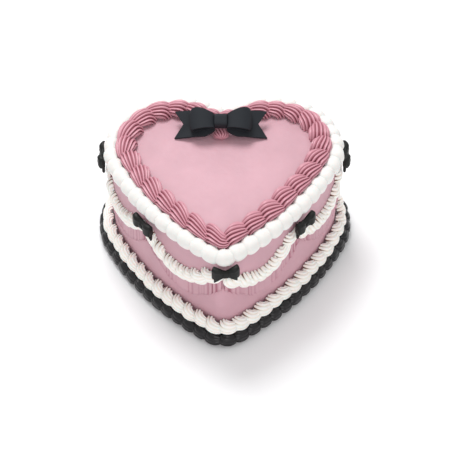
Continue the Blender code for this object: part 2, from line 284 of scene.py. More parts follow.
def shaped_copy(blank, points, name):
    """A copy of the blank, with its own mesh, whose vertices lie at the given points."""
    copy = blank.copy()
    copy.data = blank.data.copy()
    copy.name = name
    set_places(copy, points)
    bpy.context.scene.collection.objects.link(copy)
    return copy


def join_pieces(pieces, name):
    """Joins strokes into one piece, with its faces outwards and shaded smooth."""
    deselect()
    for piece in pieces:
        piece.select_set(True)
    bpy.context.view_layer.objects.active = pieces[0]
    if len(pieces) > 1:
        bpy.ops.object.join()
    joined = bpy.context.object
    joined.name = joined.data.name = name
    bpy.ops.object.mode_set(mode="EDIT")
    bpy.ops.mesh.select_all(action="SELECT")
    bpy.ops.mesh.normals_make_consistent(inside=False)
    bpy.ops.object.mode_set(mode="OBJECT")
    bpy.ops.object.shade_smooth()
    return joined


def remove(blank):
    bpy.data.objects.remove(blank, do_unlink=True)


# Curves

def ease(share):
    share = np.clip(share, 0, 1)
    return share * share * (3 - 2 * share)


def flowing(values, share):
    """Smooth curve through evenly spaced values, at shares of its length."""
    values = np.asarray(values, float)
    padded = np.concatenate([[2 * values[0] - values[1]], values, [2 * values[-1] - values[-2]]])
    spot = np.clip(share, 0, 1) * (len(values) - 1)
    start = np.minimum(spot.astype(int), len(values) - 2)
    part = spot - start
    a, b, c, d = (padded[start + step] for step in range(4))
    return 0.5 * (2 * b + (c - a) * part + (2 * a - 5 * b + 4 * c - d) * part ** 2
                  + (3 * b - a - 3 * c + d) * part ** 3)


def squared(value, power):
    """A sine or cosine that fills out towards a square wave, as the power falls."""
    return np.sign(value) * np.abs(value) ** power


def round_ends(share, head, tail):
    """Share of the full radius where a stroke closes in a round head and tail."""
    near_head = np.clip(1 - share / head, 0, 1)
    near_tail = np.clip(1 - (1 - share) / tail, 0, 1)
    return np.sqrt(1 - near_head ** 2) * np.sqrt(1 - near_tail ** 2)


# Piped shells

def ridge_share(angle, ridges, thin):
    """One on the ridges of a star nozzle's section, and nought in the sharp valleys."""
    return np.abs(np.cos(ridges * angle / 2)) ** thin


def mark_creases(piece, depth):
    """Lets a piece remember how deep in a crease each of its vertices lies, where the icing paints
    shade.
    """
    crease = piece.data.attributes.new("crease", "FLOAT", "POINT")
    crease.data.foreach_set("value", np.asarray(depth, np.float32))


def star_blank(around, rings, nozzle, gap_side=math.radians(85), gap_spread=3.0):
    """A blank for fluted strokes, with its valleys marked as creases.

    The creases, which get painted shade, are deepest at the head's foot, on the side that the gap
    faces, where a painted gap shadow goes.
    """
    blank = make_blank(around, rings)
    angle, share, _ = blank_places(blank)
    valley = 1 - ridge_share(angle, nozzle["ridges"], nozzle["thin"])
    side = np.clip(1 - gap_spread * (1 - np.cos(angle - gap_side)), 0, 1)
    # Painted shade along the valleys, and a painted shadow at the foot on the gap's side.
    mark_creases(blank, valley * 0.9 + 1.3 * side * (0.3 + valley) * (1 - ease(share / 0.36)))
    return blank


def shell_look(nozzle, draw, half_width, tall, drag, first, last):
    """Look of the next shell from a nozzle; its first heading is drawn from a range."""
    return {**nozzle, "half_width": half_width, "tall": tall, "drag": drag,
            "first": math.radians(draw.uniform(*first)), "last": math.radians(last),
            "wander": draw.uniform(0, 6.28)}


def fluted_radius(angle, share, look):
    """Radius of the section, with ridges that are not quite alike."""
    ridges = ridge_share(angle, look["ridges"], look["thin"])
    uneven = 0.5 * np.sin(3 * angle + look["wander"]) + 0.5 * np.sin(7 * share + look["wander"])
    return 1 - look["depth"] * (1 - ridges) + 0.025 * uneven


def shell_form(blank, look):
    """One piped shell: how far its surface lies ahead of, left of and above its start.

    The icing rises under the upright nozzle, which then leans over and drags it away,
    while its heading turns from the first angle to the last.
    """
    angle, share, radius = blank_places(blank)
    pitch = math.pi / 2 * (1 - ease((share - 0.10) / 0.36))
    pitch -= math.radians(10) * ease((share - 0.5) / 0.5)
    fine = np.linspace(0, 1, 120)
    turn = look["first"] + (look["last"] - look["first"]) * ease(fine * 1.3)
    steps = np.diff(look["drag"] * np.clip((fine - 0.08) / 0.92, 0, 1) ** 1.15, prepend=0)
    heading, walked_ahead, walked_left = (
        np.interp(share, fine, values) for values in
        (turn, np.cumsum(steps * np.cos(turn)), np.cumsum(steps * np.sin(turn))))
    rise = flowing((-0.06, 0.22, 0.36, 0.42, 0.41, 0.36, 0.29, 0.20), share) * look["tall"]
    swell = flowing((0.84, 0.97, 1.02, 1.0, 0.93, 0.80, 0.62, 0.42), share)
    teeth = look["teeth"] * (ridge_share(angle, look["ridges"], 0.8) - 0.4)
    teeth *= 1 - ease(share / 0.22)
    fluted = radius * swell * (fluted_radius(angle, share, look) + teeth)
    fluted = fluted * round_ends(share, 1e-3, 0.10)
    lying = look["tall"] * 0.60
    half_over = lying + (0.90 * look["half_width"] - lying) * np.sin(np.clip(pitch, 0, None))
    across = fluted * look["half_width"] * np.cos(angle)
    over = fluted * half_over * np.sin(angle) * np.where(np.sin(angle) > 0, 1.0, 0.75)
    back = over * np.sin(pitch)
    ahead = walked_ahead - back * np.cos(heading) - across * np.sin(heading)
    beside = walked_left - back * np.sin(heading) + across * np.cos(heading)
    return ahead, beside, rise + over * np.cos(pitch)


def pipe_shell(blank, lane, walked, look, lay, slope=0.0):
    """Points of a shell piped along a line, on the surface that lay gives."""
    ahead, beside, above = shell_form(blank, look)
    along = ahead * math.cos(slope) - beside * math.sin(slope)
    aside = ahead * math.sin(slope) + beside * math.cos(slope)
    out, height = lay(aside, above)
    return place(lane.wall_distance(walked + along), out, np.maximum(height, 0.0))


def tilted(out, height, facing, outermost=1.0):
    """Lays shells on a surface that faces up at nought and outwards at a right angle."""
    def lay(beside, above):
        above = np.maximum(above, SUNK)
        outwards = out + above * math.sin(facing) - beside * math.cos(facing)
        outwards = np.minimum(outwards, outermost)
        if out >= 0:
            outwards = np.maximum(outwards, SUNK)
        return outwards, height + above * math.cos(facing) + beside * math.sin(facing)
    return lay


def lapped(top, bend, thinning):
    """Lays shells over the rounded top edge; they thin out towards the top."""
    def lay(beside, above):
        half_arc = bend * math.pi / 4
        on_arc = np.clip(beside, -half_arc, half_arc)
        facing = math.pi / 4 - on_arc / bend
        above = above * (1 - thinning * (1 - np.sin(facing)))
        out = bend * (np.sin(facing) - 1) - np.maximum(beside - half_arc, 0)
        height = bend * (np.cos(facing) - 1) + np.minimum(beside + half_arc, 0)
        return out + above * np.sin(facing), top + height + above * np.cos(facing)
    return lay


def uneven_starts(count, whole, spread, draw, longer_near=0.0, lengthening=0.0):
    """Starts and lengths of uneven strokes that share a whole length."""
    lengths = []
    for index in range(count):
        swing = lengthening * math.cos(2 * math.pi * (index / count - longer_near))
        lengths.append(1 + swing + spread * draw.uniform(-1, 1))
    starts = np.concatenate([[0], np.cumsum(lengths)]) * whole / sum(lengths)
    return list(zip(starts[:-1], np.diff(starts)))


def pipe_ring(name, blank, lane, starts, next_shell):
    """Pipes shells one after another round a lane, and joins them into one piece."""
    pieces = []
    for start, length in starts:
        look, lay = next_shell(length)
        pieces.append(shaped_copy(blank, pipe_shell(blank, lane, start, look, lay), name))
    remove(blank)
    return join_pieces(pieces, name)


# Materials

def toned(colour, *shares):
    """The colour times one share, or times a share for each of its channels."""
    shares = shares if len(shares) == 3 else shares * 3
    return tuple(channel * share for channel, share in zip(colour, shares))


def new_group(name, inputs, outputs):
    group = bpy.data.node_groups.new(name, "ShaderNodeTree")
    for label, kind, default in inputs:
        socket = group.interface.new_socket(name=label, in_out="INPUT", socket_type=kind)
        socket.default_value = default
    for label, kind in outputs:
        group.interface.new_socket(name=label, in_out="OUTPUT", socket_type=kind)
    return group, group.nodes.new("NodeGroupInput"), group.nodes.new("NodeGroupOutput")


def add_noise(group, coords, scale, detail):
    """A noise on the object's own coordinates, at the scale of a group input."""
    noise = group.nodes.new("ShaderNodeTexNoise")
    noise.inputs["Detail"].default_value = detail
    group.links.new(coords.outputs["Object"], noise.inputs["Vector"])
    group.links.new(scale, noise.inputs["Scale"])
    return noise


def add_range(group, value, low, high):
    """Nought at the low value, one at the high value."""
    spread = group.nodes.new("ShaderNodeMapRange")
    spread.inputs["From Min"].default_value = low
    spread.inputs["From Max"].default_value = high
    group.links.new(value, spread.inputs["Value"])
    return spread.outputs["Result"]


def add_mix(group, share, first, second):
    mix = group.nodes.new("ShaderNodeMix")
    mix.data_type = "RGBA"
    group.links.new(share, mix.inputs["Factor"])
    group.links.new(first, mix.inputs["A"])
    group.links.new(second, mix.inputs["B"])
    return mix.outputs["Result"]


def add_scaled(group, value, share, addend):
    """The value times a share, plus another value."""
    scaled = group.nodes.new("ShaderNodeMath")
    scaled.operation = "MULTIPLY_ADD"
    scaled.inputs[1].default_value = share
    group.links.new(value, scaled.inputs[0])
    group.links.new(addend, scaled.inputs[2])
    return scaled.outputs["Value"]


def icing_group():
    """Whipped icing: soft patches of colour, painted shade in the creases, a painted shadow in the
    deepest gaps and a finely worked surface.
    """
    name = "Whipped icing"
    if name in bpy.data.node_groups:
        return bpy.data.node_groups[name]
    group, given, result = new_group(
        name,
        (("Colour", "NodeSocketColor", (1, 1, 1, 1)), ("Shade", "NodeSocketColor", (0, 0, 0, 1)),
         ("Crease shade", "NodeSocketColor", (0, 0, 0, 1)), ("Gap shadow", "NodeSocketColor", (0, 0, 0, 1)),
         ("Patch size", "NodeSocketFloat", 60.0), ("Grain size", "NodeSocketFloat", 900.0),
         ("Roughness", "NodeSocketFloat", 0.5)),
        (("Colour", "NodeSocketColor"), ("Roughness", "NodeSocketFloat"),
         ("Height", "NodeSocketFloat")))
    given = given.outputs
    coords = group.nodes.new("ShaderNodeTexCoord")
    patches = add_noise(group, coords, given["Patch size"], 4)
    patches.inputs["Roughness"].default_value = 0.55
    grain = add_noise(group, coords, given["Grain size"], 3)
    crease = group.nodes.new("ShaderNodeAttribute")
    crease.attribute_name = "crease"
    patchy = add_range(group, patches.outputs["Fac"], 0.32, 0.68)
    # Painted shade: the crease colour darkens the valleys between the ridges.
    deep = add_range(group, crease.outputs["Fac"], 0.08, 0.75)
    # Painted shadow: the gap colour darkens the deepest creases at the shells' feet.
    foot = add_range(group, crease.outputs["Fac"], 0.9, 1.5)
    colour = add_mix(group, patchy, given["Shade"], given["Colour"])
    colour = add_mix(group, deep, colour, given["Crease shade"])
    colour = add_mix(group, foot, colour, given["Gap shadow"])
    uneven = add_scaled(group, grain.outputs["Fac"], 0.16, given["Roughness"])
    height = add_scaled(group, grain.outputs["Fac"], 0.30, patches.outputs["Fac"])
    group.links.new(colour, result.inputs["Colour"])
    group.links.new(uneven, result.inputs["Roughness"])
    group.links.new(height, result.inputs["Height"])
    return group


def icing_material(name, colour, look):
    """Icing in one colour; the look holds its shades, its painted crease shade and gap shadow, grain,
    relief, softness and gloss.
    """
    if name in bpy.data.materials:
        return bpy.data.materials[name]
    material = bpy.data.materials.new(name)
    material.use_nodes = True
    nodes, links = material.node_tree.nodes, material.node_tree.links
    shader = nodes["Principled BSDF"]
    icing = nodes.new("ShaderNodeGroup")
    icing.node_tree = icing_group()
    icing.inputs["Colour"].default_value = (*colour, 1)
    icing.inputs["Shade"].default_value = (*toned(colour, look["shade"]), 1)
    icing.inputs["Crease shade"].default_value = (*look["crease"], 1)
    icing.inputs["Gap shadow"].default_value = (*look["gap"], 1)
    icing.inputs["Patch size"].default_value = look["patch"]
    icing.inputs["Grain size"].default_value = look["grain"]
    icing.inputs["Roughness"].default_value = look["rough"]
    bump = nodes.new("ShaderNodeBump")
    bump.inputs["Distance"].default_value = look["relief"]
    bump.inputs["Strength"].default_value = 1.0
    links.new(icing.outputs["Colour"], shader.inputs["Base Color"])
    links.new(icing.outputs["Roughness"], shader.inputs["Roughness"])
    links.new(icing.outputs["Height"], bump.inputs["Height"])
    links.new(bump.outputs["Normal"], shader.inputs["Normal"])
    shader.inputs["Subsurface Weight"].default_value = look["soft"]
    shader.inputs["Subsurface Radius"].default_value = (1.0, 0.6, 0.55)
    shader.inputs["Subsurface Scale"].default_value = 0.0012
    shader.inputs["Specular IOR Level"].default_value = look["gloss"]
    return material


# In each icing below, the crease colour is painted shade in the valleys, and the gap colour a painted
# shadow in the deepest gaps.
def smooth_pink_icing():
    pink = colours().pink
    return icing_material("pink icing, smoothed", pink, {
        "shade": 0.88, "crease": toned(pink, 0.60, 0.38, 0.44), "gap": toned(pink, 0.5),
        "patch": 22, "grain": 240, "rough": 0.42, "relief": 0.0006, "soft": 0.12, "gloss": 0.4})


def piped_pink_icing():
    pink = colours().piped_pink
    return icing_material("pink icing, piped", pink, {
        "shade": 0.92, "crease": toned(pink, 0.42, 0.21, 0.25), "gap": colours().pink_gap_shadow,
        "patch": 90, "grain": 1100, "rough": 0.30, "relief": 0.00010, "soft": 0.03, "gloss": 0.5})


# A darker copy of the white is painted shade, for a part that takes more light.
def white_icing(name="white icing, piped", painted_dimming=1.0):
    white = toned(colours().white, painted_dimming)
    return icing_material(name, white, {
        "shade": 0.97, "crease": toned(white, 0.93, 0.89, 0.83), "gap": colours().gap,
        "patch": 90, "grain": 1100, "rough": 0.42, "relief": 0.00012, "soft": 0.25, "gloss": 0.4})


def black_icing():
    black = colours().black
    crease = toned(black, 0.5)
    return icing_material("black icing, piped", black, {
        "shade": 0.7, "crease": crease, "gap": crease, "patch": 120, "grain": 1300,
        "rough": 0.24, "relief": 0.00012, "soft": 0.0, "gloss": 0.45})


def small_bow_fondant():
    black = colours().small_bow
    crease = toned(black, 0.5)
    return icing_material("black fondant, small bows", black, {
        "shade": 0.75, "crease": crease, "gap": crease, "patch": 200, "grain": 1500,
        "rough": 0.40, "relief": 0.0002, "soft": 0.0, "gloss": 0.2})


def charcoal_fondant():
    charcoal = colours().charcoal
    crease = toned(charcoal, 0.5)
    return icing_material("charcoal fondant, large bow", charcoal, {
        "shade": 0.9, "crease": crease, "gap": crease, "patch": 60, "grain": 900,
        "rough": 0.50, "relief": 0.00010, "soft": 0.0, "gloss": 0.15})


def dress(piece, material, node):
    """Gives a finished piece its material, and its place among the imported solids."""
    piece.data.materials.clear()
    piece.data.materials.append(material)
    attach(piece, "root")
    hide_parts(node)


# Cake and its borders

class CAKE_OT_body(bpy.types.Operator):
    """Smoothed pink cake with a softly rounded top edge"""
    bl_idname = "cake.body"
    bl_label = "Cake body"
    ripple: metres("Ripple", "Height of the spatula's ripples on the wall", 0.00012)

    def execute(self, context):
        blank = make_blank(360, 40)
        angle, share, radius = blank_places(blank)
        edge = sizes().top_edge
        wall_share = 0.7
        along = (angle / (2 * math.pi)) * perimeter()
        top = body_high.z
        bend = np.clip((share - wall_share) / (1 - wall_share), 0, 1) * math.pi / 2
        out = -edge * (1 - np.cos(bend))
        height = np.where(share < wall_share, share / wall_share * (top - edge),
                          top - edge + edge * np.sin(bend))
        ripple = self.ripple * np.sin(along * 120) * np.sin(height * 90)
        points = place(along, out + ripple * (share > 0.05), height)
        centre = radius < 0.5
        points[centre, 0] = 0.0
        points[centre, 1] = points[~centre, 1].mean()
        body = join_pieces([shaped_copy(blank, points, "iced_cake")], "iced_cake")
        remove(blank)
        dress(body, smooth_pink_icing(), "cake_body")
        return {"FINISHED"}


class CAKE_OT_top_shells(bpy.types.Operator):
    """Large ridged shells piped round the top"""
    bl_idname = "cake.top_shells"
    bl_label = "Top shells"
    count: number("Shells", "Number of shells round the top", 29)
    half_width: metres("Half width", "Half the width of a shell's head", 0.0094)
    tall: metres("Height", "Height of a shell's head", 0.0098)
    first_start: metres("First start", "Start of the first shell, from the tip", 0.006)

    def execute(self, context):
        draw = random.Random(5)
        nozzle = {"ridges": 14, "thin": 1.2, "depth": 0.34, "teeth": 0.24}
        lane = Lane(-0.0150)
        lay = tilted(lane.out, body_high.z, facing=0.0, outermost=-0.0032)

        def next_shell(length):
            size = draw.uniform(0.94, 1.04)
            look = shell_look(nozzle, draw, self.half_width * size, self.tall * size,
                              1.08 * length, (-18, -8), 0)
            look.update(first=0.7 * look["first"], last=1.3 * look["first"])
            return look, lay

        starts = uneven_starts(self.count, lane.length, 0.08, draw, longer_near=0.9, lengthening=0.13)
        starts = [(start + self.first_start, length) for start, length in starts]
        blank = star_blank(112, 26, nozzle, gap_side=math.radians(150), gap_spread=0.8)
        ring = pipe_ring("piped_top_shells", blank, lane, starts, next_shell)
        dress(ring, piped_pink_icing(), "top_shells")
        return {"FINISHED"}


class CAKE_OT_notch_shell(bpy.types.Operator):
    """Shell that points forward from the notch, under the large bow"""
    bl_idname = "cake.notch_shell"
    bl_label = "Notch shell"
    half_width: metres("Half width", "Half the width of the shell", 0.0074)
    reach: metres("Reach", "How far it is dragged past its solid's front", 0.0018)

    def execute(self, context):
        low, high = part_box("notch_shell")
        blank = make_blank(104, 24)
        angle, share, radius = blank_places(blank)
        swell = flowing((0.60, 0.92, 1.0, 0.94, 0.74), share) * round_ends(share, 0.2, 0.22)
        twist = 0.9
        ridges = ridge_share(angle + twist * share, 13, 1.2)
        fluted = radius * swell * (1 - 0.28 * (1 - ridges))
        x = (low.x + high.x) / 2 + fluted * self.half_width * np.cos(angle)
        y = high.y + (low.y - self.reach - high.y) * share
        tall = (high.z - body_high.z) * 0.55
        z = body_high.z + np.maximum(tall * 0.8 + fluted * tall * np.sin(angle), SUNK)
        shell = shaped_copy(blank, np.stack([x, y, z], axis=-1), "piped_notch_shell")
        # Painted shade in the shell's valleys.
        mark_creases(shell, 0.9 * (1 - ridges))
        remove(blank)
        shell = join_pieces([shell], "piped_notch_shell")
        dress(shell, piped_pink_icing(), "notch_shell")
        return {"FINISHED"}


class CAKE_OT_rim_border(bpy.types.Operator):
    """White puffs that lap over the top edge"""
    bl_idname = "cake.rim_border"
    bl_label = "White rim border"
    count: number("Puffs", "Number of puffs round the rim", 45)
    half_width: metres("Half width", "Half the width of a puff", 0.0076)
    tall: metres("Height", "Height of a puff off the wall", 0.0060)

    def execute(self, context):
        draw = random.Random(3)
        nozzle = {"ridges": 12, "thin": 0.8, "depth": 0.03, "teeth": 0.0}
        lane = Lane(0.0)
        lay = lapped(body_high.z, bend=0.005, thinning=0.52)

        def next_puff(length):
            size = draw.uniform(0.94, 1.04)
            return shell_look(nozzle, draw, self.half_width * size, self.tall * size,
                              0.92 * length, (-50, -38), 24), lay

        starts = uneven_starts(self.count, lane.length, 0.10, draw)
        border = pipe_ring("piped_rim_border", make_blank(56, 28), lane, starts, next_puff)
        # Painted shade: the rim's white is a darker copy of the piped white, held down where the top
        # edge takes more light.
        dress(border, white_icing("white icing, rim, painted shade", painted_dimming=0.87), "rim_border")
        return {"FINISHED"}


class CAKE_OT_base_border(bpy.types.Operator):
    """Black shells round the foot of the cake, outside the white ones"""
    bl_idname = "cake.base_border"
    bl_label = "Black base border"
    count: number("Shells", "Number of shells round the base", 53)
    half_width: metres("Half width", "Half the width of a shell", 0.0060)
    tall: metres("Height", "Height of a shell off its surface", 0.0060)

    def execute(self, context):
        draw = random.Random(21)
        nozzle = {"ridges": 9, "thin": 0.8, "depth": 0.15, "teeth": 0.06}
        lane = Lane(0.0090)
        lay = tilted(out=0.0078, height=0.0072, facing=math.radians(58), outermost=0.0143)

        def next_shell(length):
            size = draw.uniform(0.94, 1.04)
            return shell_look(nozzle, draw, self.half_width * size, self.tall * size,
                              1.05 * length, (-40, -26), 6), lay

        starts = uneven_starts(self.count, lane.length, 0.07, draw)
        border = pipe_ring("piped_base_border", star_blank(72, 24, nozzle), lane, starts, next_shell)
        dress(border, black_icing(), "base_border")
        return {"FINISHED"}


class CAKE_OT_base_shells(bpy.types.Operator):
    """White shells above the black border, with ragged starts against the wall"""
    bl_idname = "cake.base_shells"
    bl_label = "White base shells"
    count: number("Shells", "Number of shells round the base", 49)
    half_width: metres("Half width", "Half the width of a shell", 0.0062)
    tall: metres("Height", "Height of a shell off its surface", 0.0062)

    def execute(self, context):
        draw = random.Random(31)
        nozzle = {"ridges": 10, "thin": 1.2, "depth": 0.13, "teeth": 0.22}
        lane = Lane(0.0050)

        def next_shell(length):
            size = draw.uniform(0.94, 1.05)
            level = 0.0180 + draw.uniform(-0.0004, 0.0004)
            look = shell_look(nozzle, draw, self.half_width * size, self.tall * size,
                              1.20 * length, (-50, -34), 2)
            return look, tilted(out=0.0031, height=level, facing=math.radians(64))

        starts = uneven_starts(self.count, lane.length, 0.09, draw)
        border = pipe_ring("piped_base_shells", star_blank(80, 24, nozzle), lane, starts, next_shell)
        dress(border, white_icing(), "base_shells")
        return {"FINISHED"}


# Decoration of the wall

def swag_line(index, share):
    """Distance along the wall and height of a swag's middle line, and its slope."""
    size = sizes()
    span = perimeter() / size.swags
    along = (index + share) * span
    height = size.swag_height - size.swag_drop * np.sin(math.pi * share)
    slope = np.arctan2(-size.swag_drop * math.pi * np.cos(math.pi * share), span)
    return along, height, slope


class CAKE_OT_white_swags(bpy.types.Operator):
    """White swags of ragged petals that hang from bow to bow"""
    bl_idname = "cake.white_swags"
    bl_label = "White swags"
    petals: number("Petals", "Number of petals in a swag", 8)
    half_width: metres("Half width", "Half the width of a petal", 0.0071)
    thin_end: metres("Thin end", "Height of the petals beside the bows", 0.0040)
    fuller: metres("Fuller", "What the petals gain in height further down", 0.0013)
    tip_shift: metres("Tip shift", "Later start of the swag right of the tip", 0.0045)

    def petal_share(self, petal, draw):
        """Share of the way from bow to bow: closer together further down, clear of the bows."""
        share = (petal + 0.5 + draw.uniform(-0.10, 0.10)) / self.petals
        share += 0.26 * math.sin(2 * math.pi * share) / (2 * math.pi)
        return 0.5 + 0.92 * (share - 0.5)

    def execute(self, context):
        draw = random.Random(100)
        nozzle = {"ridges": 10, "thin": 1.2, "depth": 0.12, "teeth": 0.24}
        blank = star_blank(80, 24, nozzle)
        lane = Lane(0.0)
        even_pitch = perimeter() / sizes().swags / self.petals
        for index in range(sizes().swags):
            pieces = []
            for petal in range(self.petals):
                share = self.petal_share(petal, draw)
                along, height, slope = (float(value) for value in swag_line(index, share))
                size = draw.uniform(0.94, 1.05)
                drape = math.sin(math.pi * share)
                drag = 1.22 * even_pitch * (1.26 - 0.46 * drape) / math.cos(slope)
                tall = self.thin_end + self.fuller * min(1, 1.5 * drape)
                look = shell_look(nozzle, draw, self.half_width * size, tall, drag, (-58, -44), 6)
                lay = tilted(out=0.0, height=height + 0.0022, facing=math.pi / 2)
                start = along - 0.4 * drag * math.cos(slope)
                if index == 0:
                    start += self.tip_shift * (1 - share) ** 2
                points = pipe_shell(blank, lane, start, look, lay, slope)
                pieces.append(shaped_copy(blank, points, "swag_petal"))
            swag = join_pieces(pieces, f"piped_swag_{index + 1}")
            dress(swag, white_icing(), f"white_swag_{index + 1}")
        remove(blank)
        return {"FINISHED"}


class CAKE_OT_pink_ruffles(bpy.types.Operator):
    """Pleated pink ruffles below the swags"""
    bl_idname = "cake.pink_ruffles"
    bl_label = "Pink ruffles"
    pleats: number("Pleats", "Number of pleats in a ruffle", 18)
    end_height: metres("End height", "Height of a ruffle's hem at the bows", 0.062)
    drop: metres("Drop", "How far the hem hangs down", 0.028)
    deep: metres("Deep", "How far the pleats stand out", 0.0016)

    def ruffle_form(self, index, around, share, wander):
        """Run, distance outside the wall, height and depth in a crease for painted shade, of each
        vertex.
        """
        run = 0.012 + 0.976 * share
        phase = self.pleats * run + 0.45 * np.sin(5 * run * math.pi + wander)
        phase += 0.25 * np.sin(13 * run * math.pi + 2 * wander)
        pleat = np.abs(np.cos(math.pi * phase)) ** 0.7
        along, middle, _ = swag_line(index, run)
        top = middle - 0.0030
        hem = self.end_height - self.drop * np.sin(math.pi * run) - 0.0010 * pleat + 0.0012
        hem += 0.0006 * np.sin(11 * run * math.pi + wander)
        face_share = 0.72
        climb = np.clip(around / face_share, 0, 1)
        face = climb < 1
        level = np.where(face, climb, 1 - (around - face_share) / (1 - face_share))
        height = hem + (top - hem) * level
        lip = np.exp(-((level - 0.05) / 0.05) ** 2)
        strength = 0.25 + 0.75 * np.abs(2 * run - 1) ** 1.4
        strength *= 0.72 + 0.28 * np.sin(7 * run * math.pi + 3 * wander)
        out = 0.0011 + strength * pleat * self.deep + lip * (0.0006 + 0.0007 * pleat)
        behind = -0.0004
        out = np.where(face, out * np.minimum(1, level * 22 + 0.2), behind)
        # Painted shade in the folds between the pleats, darker where the pleats stand out more; the
        # darkest takes the smooth pink's gap colour as a painted shadow.
        return along, out, height, 1.5 * strength * (1 - pleat) * np.clip(4 - 4 * level, 0, 1)

    def execute(self, context):
        draw = random.Random(200)
        blank = make_blank(40, 180)
        angle, share, radius = blank_places(blank)
        around = angle / (2 * math.pi) % 1
        middle = radius < 0.5
        for index in range(sizes().swags):
            wander = draw.uniform(0, 6.28)
            along, out, height, crease = self.ruffle_form(index, around, share, wander)
            points = place(along, out, height)
            for end in (0, 1):
                at_end = np.abs(share - end) < 1e-4
                points[middle & at_end] = points[~middle & at_end].mean(axis=0)
            ruffle = shaped_copy(blank, points, "pleats")
            mark_creases(ruffle, crease)
            ruffle = join_pieces([ruffle], f"pleated_ruffle_{index + 1}")
            dress(ruffle, smooth_pink_icing(), f"pink_ruffle_{index + 1}")
        remove(blank)
        return {"FINISHED"}


class CAKE_OT_small_bows(bpy.types.Operator):
    """Small moulded bows where the swags meet: wings, tails and a knot"""
    bl_idname = "cake.small_bows"
    bl_label = "Small bows"
    back: metres("Stand off", "Distance from the wall to a bow's back", 0.0052)
    wing_reach: metres("Wing reach", "Half the width of a bow", 0.0110)
    tail_reach: metres("Tail reach", "Reach of the tails to each side", 0.0102)
    knot_reach: metres("Knot reach", "Half the width of a bow's knot", 0.0025)
    fill: metres("Fill", "How much less they are pinched than the tip's bow", 0.0018)

    def wing_points(self, blank, fill):
        """Both wings in one: pinched in the middle, with flared ends and soft folds."""
        angle, share, radius = blank_places(blank)
        x = self.wing_reach * (2 * share - 1)
        side = np.abs(2 * share - 1)
        high = flowing((0.0030, 0.0042, 0.0060, 0.0070, 0.0072), side) + fill * (1 - side)
        low = flowing((-0.0026, -0.0034, -0.0046, -0.0054, -0.0056), side) - fill * (1 - side)
        thick = flowing((0.0046, 0.0052, 0.0066, 0.0066, 0.0056), side)
        upright = squared(np.sin(angle), 0.45)
        off = squared(np.cos(angle), 0.8)
        fold = 1 + 0.10 * np.cos(9 * upright) * (1 - side) ** 0.5 * (off > 0)
        up = (high + low) / 2 + radius * (high - low) / 2 * upright
        return x, up, thick / 2 + radius * thick / 2 * off * fold

    def tail_points(self, blank):
        """Both tails in one: they slope down from the knot to a pointed corner."""
        angle, share, radius = blank_places(blank)
        x = self.tail_reach * (2 * share - 1)
        side = np.abs(2 * share - 1)
        low = -0.0026 - 0.0096 * side
        high = -0.0006 - 0.0030 * side
        up = (high + low) / 2 + radius * (high - low) / 2 * squared(np.sin(angle), 0.6)
        return x, up, 0.0014 + radius * 0.0014 * np.cos(angle) + 0.0004

    def knot_points(self, blank):
        """A small rounded band over the middle."""
        angle, share, radius = blank_places(blank)
        x = self.knot_reach * (2 * share - 1)
        round_off = 0.75 + 0.25 * (1 - np.abs(2 * share - 1) ** 4) ** 0.25
        up = radius * round_off * 0.0034 * squared(np.sin(angle), 0.7)
        return x, up, 0.0027 + radius * round_off * 0.0031 * np.cos(angle)

    def execute(self, context):
        wings, tails, knot = make_blank(48, 40), make_blank(24, 24), make_blank(32, 14)
        lane = Lane(self.back)
        last = sizes().swags - 1
        for index in range(sizes().swags):
            at_tip = index == 0
            _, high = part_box(f"small_bow_{index + 1}")
            wide, tall, under_top = (0.88, 1.02, 0.0050) if at_tip else (1.0, 0.94, 0.0052)
            centre = high.z - under_top
            shift = {0: 0.0018, last: 0.0024}.get(index, 0.0)
            walked = lane.walked_beside(perimeter() * index / sizes().swags + shift)
            shapes = ((wings, self.wing_points(wings, 0.0 if at_tip else self.fill)),
                      (tails, self.tail_points(tails)), (knot, self.knot_points(knot)))
            pieces = []
            for blank, (x, up, out) in shapes:
                along = lane.wall_distance(walked + wide * x)
                points = place(along, self.back + out, centre + tall * up)
                pieces.append(shaped_copy(blank, points, "bow_piece"))
            bow = join_pieces(pieces, f"moulded_bow_{index + 1}")
            dress(bow, small_bow_fondant(), f"small_bow_{index + 1}")
        for blank in (wings, tails, knot):
            remove(blank)
        return {"FINISHED"}


# Large bow

def bow_points(x, up, off):
    """Points of the large bow's frame, in the cake's frame."""
    bow = bow_sizes()
    low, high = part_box("bow_knot")
    middle = Vector(((low.x + high.x) / 2, (low.y + high.y) / 2, (low.z + high.z) / 2))
    up = up - (bow.knot_low + bow.knot_high) / 2
    off = off - (bow.knot_back + bow.knot_front) / 2
    x, up, off = np.broadcast_arrays(x, up, off)
    return np.stack([middle.x + x,
                     middle.y + up * math.cos(bow.tilt) - off * math.sin(bow.tilt),
                     middle.z + up * math.sin(bow.tilt) + off * math.cos(bow.tilt)], axis=-1)


def bow_droop(x):
    """How far the bow hangs below its slope at a distance from the middle."""
    bow = bow_sizes()
    beyond = np.clip(np.abs(x) - bow.knot_half, 0, None) / (bow.tail_length - bow.knot_half)
    return bow.droop * beyond ** 1.2


def apply_modifier(piece, kind, **settings):
    modifier = piece.modifiers.new(kind.title(), kind)
    for setting, value in settings.items():
        setattr(modifier, setting, value)
    bpy.ops.object.modifier_apply(modifier=modifier.name)


def finish_strip(piece, thickness):
    """Gives a shaped sheet of fondant its thickness and soft edges."""
    deselect()
    piece.select_set(True)
    bpy.context.view_layer.objects.active = piece
    apply_modifier(piece, "SOLIDIFY", thickness=thickness, offset=-1, use_even_offset=True)
    apply_modifier(piece, "BEVEL", width=bow_sizes().rounding, segments=3, limit_method="ANGLE",
                   angle_limit=math.radians(50))
    bpy.ops.object.shade_smooth()


